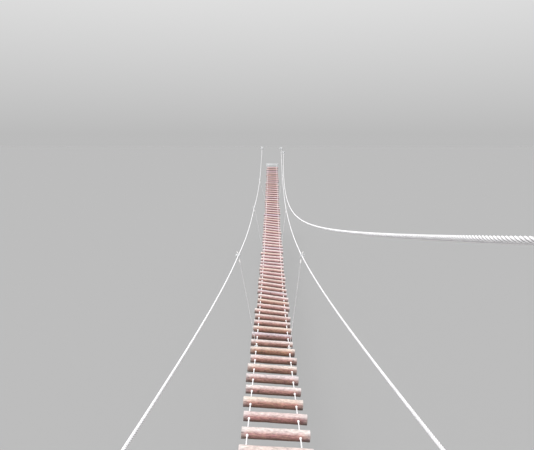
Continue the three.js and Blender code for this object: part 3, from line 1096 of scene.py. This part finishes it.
for side, rope in HAND_ROPES.items():
    outward = turn(0 if rope["side"] > 0 else 180, "Z")
    for station in range(1, BAYS):
        top = hand_rope_at(rope, station * BAY)
        bottom = deck_rope_at(rope["side"], station * BAY)
        clamp = two_halves(Matrix.Translation(top) @ outward, CLAMP_SIZE, *CLAMP_BOLTS)
        name = f"{side}_clamp_{station}"
        add_piece(name + "_halves", clamp, zinc_steel, [name])

        name = f"{side}_hanger_{station}"
        over = top + Vector((0, 0, CLAMP_SIZE[2] / 2))
        lean = Vector((rope["side"] * math.sin(TAIL_LEAN), 0, math.cos(TAIL_LEAN)))
        route = [over + lean * TAIL_LENGTH, over + lean * TAIL_BEND, over, top, bottom]
        cable_mesh = laid_rope(route, HANGER_DIAMETER, steps_per_lay=8)
        add_piece(name + "_cable", cable_mesh, wire_rope, [name], smooth_angle=None)

        ferrule = bmesh.new()
        down = (bottom - top).normalized()
        middle = top + down * (FERRULE_BELOW + FERRULE_LENGTH / 2)
        rod(ferrule, FERRULE_RADIUS, FERRULE_LENGTH, facing(middle, down), 14)
        cap_middle = over + lean * (TAIL_LENGTH + CAP_OVER - CAP_LENGTH / 2)
        rod(ferrule, CAP_RADIUS, CAP_LENGTH, facing(cap_middle, lean))
        add_piece(name + "_sleeve", mesh_from(ferrule), pressed_aluminium)

        grip = two_halves(Matrix.Translation(bottom) @ outward, GRIP_SIZE, *GRIP_BOLTS)
        add_piece(name + "_grip", grip, zinc_steel)

# %% [markdown]
# ## The anchors
# A flat steel plate is bolted to the rock with anchor rods. Two cheeks welded to it make a fork
# for each rope, and a pin through both carries the thimble. A cheek is a block whose outer
# corners are bevelled so far that they meet in a round nose. The weld is a soft-edged block
# round the cheek's foot, a little bigger than the cheek.

# %% Define an anchor
PLATE_THICKNESS = 0.015
PLATE_CORNER = 0.014
PLATE_EDGE = 0.0015
CHEEK_THICKNESS = 0.008
CHEEK_RADIUS = 0.024
NOSE_RADIUS = CHEEK_RADIUS * 0.98  # just less, or the two bevels would run into each other
OVERLAP = 0.002
WELD = 0.009
WELD_EDGE = 0.004
FORK_GAP = 0.02
# Radius, or width across flats, and length
PIN = (0.008, 0.060)
PIN_HEAD = (0.0125, 0.006)
PIN_WASHER = (0.013, 0.002)
PIN_NUT = (0.021, 0.009)
ROCK_WASHER = (0.015, 0.003)
ROCK_NUT = (0.024, 0.013)
ROCK_ROD = (0.008, 0.026)


def plate_with_round_corners(anchor, width, height):
    middle = move(0, PLATE_THICKNESS / 2, 0)
    plate = cuboid(anchor, (width, PLATE_THICKNESS, height), middle)
    bevel(anchor, edges_of(plate, PLATE_THICKNESS * MARGIN), PLATE_CORNER, 4)
    in_front = {vert for vert in anchor.verts if vert.co.y > PLATE_THICKNESS / MARGIN}
    bevel(anchor, [edge for edge in anchor.edges if set(edge.verts) <= in_front], PLATE_EDGE, 2)


def cheek(anchor, x):
    length = PIN_REACH + CHEEK_RADIUS - PLATE_THICKNESS + OVERLAP
    middle = move(x, PLATE_THICKNESS - OVERLAP + length / 2, 0)
    made = cuboid(anchor, (CHEEK_THICKNESS, length, 2 * CHEEK_RADIUS), middle)
    short = edges_of(made, CHEEK_THICKNESS * MARGIN)
    nose = [edge for edge in short if all(vert.co.y > PIN_REACH for vert in edge.verts)]
    bevel(anchor, nose, NOSE_RADIUS, 8)
    weld_size = (CHEEK_THICKNESS + WELD, WELD, 2 * CHEEK_RADIUS + WELD)
    block(anchor, weld_size, move(x, PLATE_THICKNESS + OVERLAP, 0), WELD_EDGE)


def fork(anchor, x):
    for side in (-1, 1):
        cheek(anchor, x + side * (FORK_GAP + CHEEK_THICKNESS) / 2)
    across = move(x, PIN_REACH, 0) @ turn(90, "Y")
    outside = FORK_GAP / 2 + CHEEK_THICKNESS
    rod(anchor, *PIN, across, 16)
    rod(anchor, *PIN_HEAD, across @ move(0, 0, -outside - PIN_HEAD[1] / 2), 16)
    rod(anchor, *PIN_WASHER, across @ move(0, 0, outside + PIN_WASHER[1] / 2), 16)
    hex_nut(anchor, *PIN_NUT, across @ move(0, 0, outside + PIN_WASHER[1] + PIN_NUT[1] / 2))


def rock_bolt(anchor, x, z):
    outward = move(x, PLATE_THICKNESS, z) @ turn(-90, "X")
    rod(anchor, *ROCK_WASHER, outward @ move(0, 0, ROCK_WASHER[1] / 2), 20)
    hex_nut(anchor, *ROCK_NUT, outward @ move(0, 0, ROCK_WASHER[1] + ROCK_NUT[1] / 2))
    rod(anchor, *ROCK_ROD, outward @ move(0, 0, ROCK_ROD[1] / 2), 14)


rod_thickness, nut_width = 2000 * ROCK_ROD[0], 1000 * ROCK_NUT[0]
print(f"Rock bolts are {rod_thickness:.0f} mm thick, with nuts {nut_width:.0f} mm across flats")

# %% Bolt an anchor at every rope end
DECK_PLATE = (0.62, 0.16)
ROPE_PLATE = (0.14, 0.14)
DECK_FORKS = (-DECK_ROPE_GAUGE / 2, DECK_ROPE_GAUGE / 2)
DECK_BOLTS = (-0.28, -0.1, 0.1, 0.28)
ROPE_BOLTS = (-0.05, 0.05)
BOLT_INSET = 0.025
ANCHORED_ROPES = {
    "left_rope_anchor": "left_hand_rope",
    "right_rope_anchor": "right_hand_rope",
    "safety_line_anchor": "safety_line",
}

for end, face_y, pin_y in (("near", 0, PIN_REACH), ("far", SPAN, SPAN - PIN_REACH)):
    anchors = {"deck_anchor": (Vector(), DECK_PLATE, DECK_FORKS, DECK_BOLTS)}
    for name, rope in ANCHORED_ROPES.items():
        anchors[name] = (ROUTES[rope](pin_y), ROPE_PLATE, (0,), ROPE_BOLTS)
    for name, (middle, (width, height), forks, bolts) in anchors.items():
        anchor = bmesh.new()
        plate_with_round_corners(anchor, width, height)
        for x in forks:
            fork(anchor, x)
        for x in bolts:
            for up in (-1, 1):
                rock_bolt(anchor, x, up * (height / 2 - BOLT_INSET))
        place = move(middle.x, face_y, middle.z) @ turn(0 if end == "near" else 180, "Z")
        bmesh.ops.transform(anchor, matrix=place, verts=anchor.verts)
        node = f"{end}_{name}"
        plate_mesh = mesh_from(anchor)
        add_piece(f"{node}_plate", plate_mesh, zinc_steel, [node], smooth_angle=35)

# %% [markdown]
# ## The studio
# A pale floor well below the bridge, a cloudy sky and one broad sun high overhead stand in for
# the day of the photograph. An overcast sky is three times as bright overhead as near the
# horizon, which makes the tops of the logs and ropes almost white and leaves their undersides
# darker. A weaker and broader sun, low on the left behind the camera, fills the near sides of
# the ropes. The floor's grey is set so that it comes out as bright as the horizon, and no line
# shows between them. The floor isn't part of the object, so it is put on stage.

# %% Light the bridge
FLOOR_BELOW = 2.2
FLOOR_SIZE = 400.0
HORIZON = 0.5
OVERHEAD = 3 * HORIZON
SUNS = {
    "broad_sun": {"energy": 3.2, "from": Vector((-0.13, -0.31, 0.94)), "spread": 35},
    "low_fill": {"energy": 1.8, "from": Vector((-0.8, -0.59, 0.1)), "spread": 60},
}
SKY_LIGHT = HORIZON + (OVERHEAD - HORIZON) * 2 / 3  # what a level floor gets from such a sky
SUN_LIGHT = sum(light["energy"] / math.pi * light["from"].z for light in SUNS.values())
FLOOR_GREY = HORIZON / (SKY_LIGHT + SUN_LIGHT)

floor_bm = bmesh.new()
floor_place = move(0, SPAN / 2, cad_box[0].z - FLOOR_BELOW)
bmesh.ops.create_grid(
    floor_bm, x_segments=1, y_segments=1, size=FLOOR_SIZE / 2, matrix=floor_place
)
floor = bpy.data.objects.new("floor", mesh_from(floor_bm))
put_in_scene(floor)
floor_paint, surface, _ = new_finish("matt_floor_paint")
fill_in(surface, {"Base Color": grey(FLOOR_GREY), "Roughness": 1, "Specular IOR Level": 0})
floor.data.materials.append(floor_paint)
floor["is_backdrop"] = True

sky = bpy.data.worlds.new("cloudy_sky")
sky.use_nodes = True
add = partial(add_node, sky.node_tree)
upward = add("SeparateXYZ", {"Vector": add("TexCoord", output="Generated")}, output="Z")
brightness = add("MapRange", {"Value": upward, "To Min": HORIZON, "To Max": OVERHEAD})
fill_in(sky.node_tree.nodes["Background"], {"Color": grey(1), "Strength": brightness})
bpy.context.scene.world = sky

for name, light in SUNS.items():
    sun_data = bpy.data.lights.new(name, "SUN")
    sun_data.energy = light["energy"]
    sun_data.angle = math.radians(light["spread"])
    sun = bpy.data.objects.new(name, sun_data)
    sun.rotation_euler = light["from"].to_track_quat("Z", "Y").to_euler()
    put_in_scene(sun)
bpy.context.scene.view_settings.view_transform = "Standard"
print("The floor is", FLOOR_BELOW, "m below the bridge")

# %% Print the frame's and the scene's boxes
new_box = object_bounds()
for name, box in (("CAD", cad_box), ("Scene", new_box)):
    print(name, "box", [[round(value, 3) for value in corner] for corner in box])
